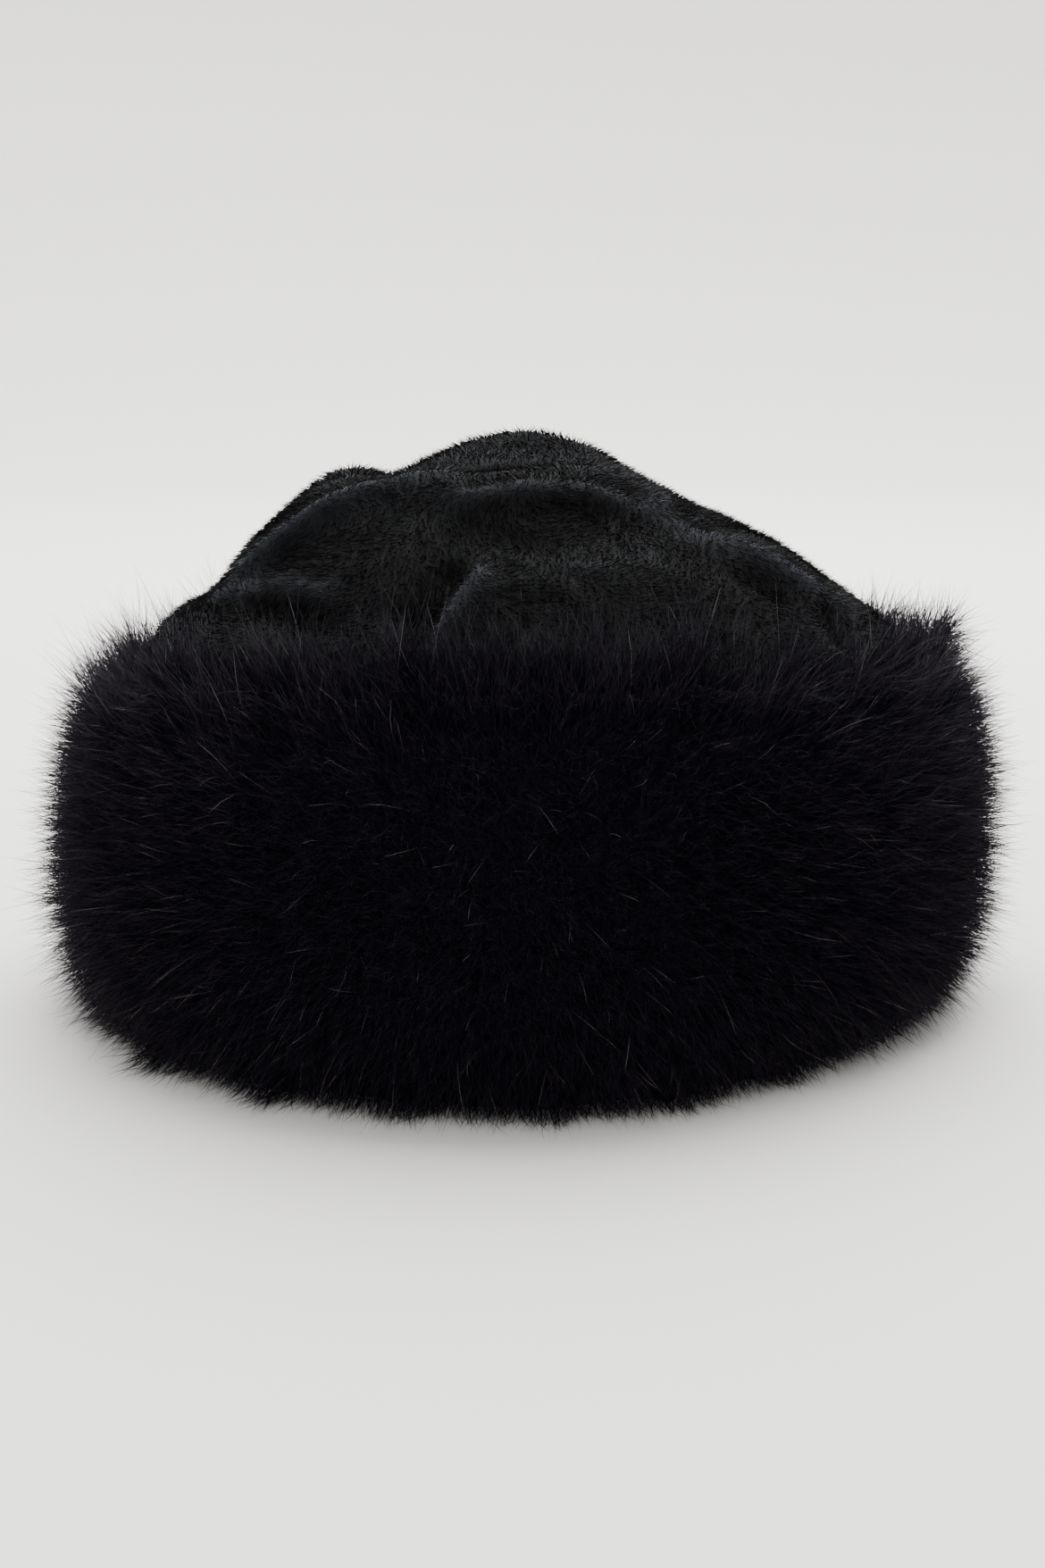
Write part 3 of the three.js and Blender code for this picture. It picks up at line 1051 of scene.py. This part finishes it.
@dataclass
class FurCuff:
    """Deep turned-up cuff: a body of matted underfur and the long fur that stands on it."""

    node: str = "fur_cuff"
    finish: BackingFinish = field(default_factory=BackingFinish)
    fibre: StrandFinish = field(
        default_factory=lambda: StrandFinish(
            name="modacrylic_fur_black",
            root_hex="#120e18",
            tip_hex="#120e14",
            stray_and_glint_hex="#18131a",
            stray_and_glint_from=0.8,
            roughness=0.45,
            specular=0.05,
        )
    )
    # Guard hairs: their pale strays are painted glints, light caught on single hairs painted into their
    # colour.
    guard_fibre: StrandFinish = field(
        default_factory=lambda: StrandFinish(
            name="modacrylic_guard_hair_black",
            root_hex="#120e18",
            tip_hex="#130f14",
            stray_and_glint_hex="#948a8d",
            stray_and_glint_from=0.87,
            roughness=0.36,
            specular=0.17,
        )
    )
    # Name, strands, length, spread, width, segments, stray, sway, droop, clump, clump pitch and seed.
    layers: tuple[StrandLayer, ...] = (
        StrandLayer("fur_low", 20_000, 17.0, 0.45, 0.36, 2, 0.3, 0.22, 0.08, 0.55, 8.0, 21),
        StrandLayer("fur_mid", 20_000, 20.0, 0.5, 0.3, 2, 0.32, 0.26, 0.1, 0.7, 11.0, 22),
        StrandLayer("fur_high", 20_000, 21.5, 0.55, 0.26, 2, 0.36, 0.28, 0.1, 0.65, 14.0, 23),
    )
    guard: StrandLayer = StrandLayer("fur_guard", 11_500, 22.0, 0.45, 0.21, 3, 0.36, 0.26, 0.1, 0.2, 12.0, 24)
    voxel_mm: float = 4.0
    sink_mm: float = 7.0
    top_sink_mm: float = 1.0
    softening: int = 10
    levelling: int = 30
    fringe: float = 0.62
    left_fringe: float = 0.5
    left_fullness: float = 0.12
    right_fringe: float = 0.1
    root_lift: float = -0.3
    lift_gain: float = 0.62
    upright: float = 0.9
    least_out: float = 0.12
    low_reach: float = 0.85
    right_loss: float = 0.25

    def build(self) -> bpy.types.Object:
        """Return the body: the CAD form remeshed, softened and drawn in under the strands."""
        body = new_object("cuff_body", merged_copy(self.node, quads=False))
        even = body.modifiers.new("even", "REMESH")
        even.mode = "VOXEL"
        even.voxel_size = self.voxel_mm * MM
        soft = body.modifiers.new("soft", "SMOOTH")
        soft.factor = 0.5
        soft.iterations = self.softening
        level = body.modifiers.new("level", "SMOOTH")
        level.factor = 0.5
        level.iterations = self.levelling
        level.use_z = False
        baked(body)
        places = points_of(body.data)
        normals = normals_of(body.data)
        away = unit(places * np.array([1.0, 1.0, 0.0]))
        facing = np.einsum("ij,ij->i", normals, away)
        outer = self.sink_mm * eased(facing, -0.1, 0.5)
        upper = self.top_sink_mm * eased(normals[:, 2], 0.5, 0.9)
        moved = places - normals * (MM * (outer + upper))[:, None]
        moved[:, 2] = np.maximum(moved[:, 2], BODY_FLOOR_MM * MM)
        place_points(body.data, moved)
        body.data.polygons.foreach_set("use_smooth", [True] * len(body.data.polygons))
        return body

    def _reach(self, places: np.ndarray, normals: np.ndarray) -> np.ndarray:
        """Tell how long the fur is: short by the floor, full at the left, long along the top edge.

        Args:
            places: Vertices of the body.
            normals: Their normals.

        Returns:
            Share of a layer's own length at each vertex.
        """
        height = places[:, 2]
        right = eased(places[:, 0], -20 * MM, 80 * MM)
        low = self.low_reach - self.right_loss * right
        reach = low + (1 - low) * eased(height, 4 * MM, 30 * MM)
        left = eased(-places[:, 0], 80 * MM, 130 * MM)
        middle = eased(height, 12 * MM, 40 * MM) * eased(-height, -105 * MM, -80 * MM)
        reach += self.left_fullness * left * (1 - middle)
        front = eased(-places[:, 1], 10 * MM, 80 * MM)
        top = eased(normals[:, 2], 0.35, 0.9)
        side = self.left_fringe + (self.right_fringe - self.left_fringe) * right
        reach += top * (side + (self.fringe - side) * front)
        return reach

    def dress(self, body: bpy.types.Object, tree: StrandTree) -> list[bpy.types.Object]:
        """Give the body its finish and grow the fur on its outside and top.

        Args:
            body: The cuff's body.
            tree: Tree that grows strands.

        Returns:
            The body and its layers of fur.
        """
        body.data.materials.append(self.finish.material())
        places = points_of(body.data)
        normals = normals_of(body.data)
        away = unit(places * np.array([1.0, 1.0, 0.0]))
        facing = np.einsum("ij,ij->i", normals, away)
        cover = eased(facing, -0.75, -0.35) * eased(normals[:, 2], -0.92, -0.6)
        lift = self.root_lift + self.lift_gain * eased(places[:, 2], 5 * MM, 70 * MM)
        out = np.maximum(facing, self.least_out)[:, None] * away
        rise = (normals[:, 2] * self.upright + lift)[:, None]
        lay = unit(out + np.array([0.0, 0.0, 1.0]) * rise)
        reach = self._reach(places, normals)
        skin = body.data.copy()
        mark(skin, lay * reach[:, None], cover)
        area = covered_area(skin, cover)
        fibre = self.fibre.material()
        pieces = [body] + [tree.grow(skin, area, layer, fibre) for layer in self.layers]
        pieces.append(tree.grow(skin, area, self.guard, self.guard_fibre.material()))
        for piece in pieces:
            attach(piece, "root")
        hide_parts(self.node)
        return pieces


@dataclass(frozen=True)
class Softbox:
    """One soft light: its place, its aim, its width and its power."""

    name: str
    place: tuple[float, float, float]
    aim: tuple[float, float, float]
    width: float
    watts: float
    colour_hex: str = "#ffffff"


@dataclass
class Studio:
    """Pale floor that sweeps up all round, soft light and the camera."""

    floor_radius: float = 1.7
    sweep_radius: float = 1.3
    floor_hex: str = "#e9e7e4"
    world_hex: str = "#ffffff"
    world_strength: float = 0.8
    lights: tuple[Softbox, ...] = (
        Softbox("overhead", (0.15, 0.75, 1.75), (0.0, 0.0, 0.0), 2.1, 126.0),
        Softbox("backdrop", (0.0, 0.9, 1.9), (0.0, 2.9, 0.5), 1.5, 50.0),
        Softbox("front_fill", (-0.7, -1.7, 1.4), (0.0, 0.0, 0.08), 0.9, 16.0),
    )
    focal_px: float = 2600.0
    camera_distance: float = 0.73
    camera_pitch: float = 12.5
    target_height: float = 0.0644

    def build(self) -> bpy.types.Object:
        """Make floor, lights and camera, and return the floor."""
        floor = self._floor()
        self._world()
        for light in self.lights:
            self._light(light)
        self._camera()
        return floor

    def _floor(self) -> bpy.types.Object:
        """Return the round floor with its rim swept up, as stage."""
        steps = [(0.0, 0.0), (self.floor_radius, 0.0)]
        for i in range(1, 17):
            turn = math.radians(90 * i / 16)
            rise = self.sweep_radius * (1 - math.cos(turn))
            steps.append((self.floor_radius + self.sweep_radius * math.sin(turn), rise))
        work = bmesh.new()
        ring = [work.verts.new((radius, 0.0, height)) for radius, height in steps]
        edges = [work.edges.new(pair) for pair in zip(ring, ring[1:])]
        bmesh.ops.spin(
            work,
            geom=ring + edges,
            cent=(0, 0, 0),
            axis=(0, 0, 1),
            angle=math.tau,
            steps=64,
        )
        bmesh.ops.remove_doubles(work, verts=work.verts, dist=0.1 * MM)
        bmesh.ops.recalc_face_normals(work, faces=work.faces)
        mesh = bpy.data.meshes.new("studio_floor")
        work.to_mesh(mesh)
        work.free()
        mesh.polygons.foreach_set("use_smooth", [True] * len(mesh.polygons))
        floor = new_object("studio_floor", mesh)
        material, tree, shader = new_material("paper_sweep")
        place = add_node(tree, "ShaderNodeTexCoord").outputs["Object"]
        tooth = add_node(tree, "ShaderNodeTexNoise", inputs={"Vector": place, "Scale": 2.0, "Detail": 2.0})
        gloss = add_node(tree, "ShaderNodeMapRange", inputs={0: tooth.outputs[0], 3: 0.75, 4: 0.9})
        tree.links.new(gloss.outputs[0], shader.inputs["Roughness"])
        shader.inputs["Base Color"].default_value = linear(self.floor_hex)
        shader.inputs["Specular IOR Level"].default_value = 0.2
        mesh.materials.append(material)
        return floor

    def _world(self) -> None:
        """Fill the room with an even pale light."""
        world = bpy.data.worlds.new("studio_air")
        world.use_nodes = True
        sky = world.node_tree.nodes["Background"]
        sky.inputs["Color"].default_value = linear(self.world_hex)
        sky.inputs["Strength"].default_value = self.world_strength
        bpy.context.scene.world = world

    def _light(self, box: Softbox) -> None:
        """Hang one softbox.

        Args:
            box: Its place, aim, width and power.
        """
        lamp = bpy.data.lights.new(box.name, "AREA")
        lamp.shape = "SQUARE"
        lamp.size = box.width
        lamp.energy = box.watts
        lamp.color = linear(box.colour_hex)[:3]
        holder = bpy.data.objects.new(box.name, lamp)
        bpy.context.scene.collection.objects.link(holder)
        holder.location = box.place
        ahead = Vector(box.aim) - Vector(box.place)
        holder.rotation_euler = ahead.to_track_quat("-Z", "Y").to_euler()

    def _camera(self) -> None:
        """Set up the camera at the photograph's viewing angle."""
        lens = bpy.data.cameras.new("camera")
        lens.sensor_width = SENSOR_MM
        lens.lens = self.focal_px * SENSOR_MM / PHOTO_HEIGHT_PX
        lens.clip_start = 0.05
        lens.clip_end = 20.0
        camera = bpy.data.objects.new("camera", lens)
        bpy.context.scene.collection.objects.link(camera)
        pitch = math.radians(self.camera_pitch)
        back = Vector((0.0, -math.cos(pitch), math.sin(pitch)))
        camera.location = Vector((0.0, 0.0, self.target_height)) + back * self.camera_distance
        camera.rotation_euler = (-back).to_track_quat("-Z", "Y").to_euler()
        bpy.context.scene.camera = camera


def triangle_count(piece: bpy.types.Object) -> int:
    """Return how many triangles a piece's mesh has."""
    return sum(len(face.vertices) - 2 for face in piece.data.polygons)


def main() -> None:
    """Build the hat and its studio, and report each piece."""
    logging.basicConfig(level=logging.INFO, format="%(name)s: %(message)s")
    Studio().build()
    tree = StrandTree()
    total = 0
    for part in (Crown(), FurCuff()):
        for piece in part.dress(part.build(), tree):
            count = triangle_count(piece)
            total += count
            LOG.info("%s: %d triangles", piece.name, count)
    LOG.info("all pieces: %d triangles", total)


if __name__ == "__main__":
    main()
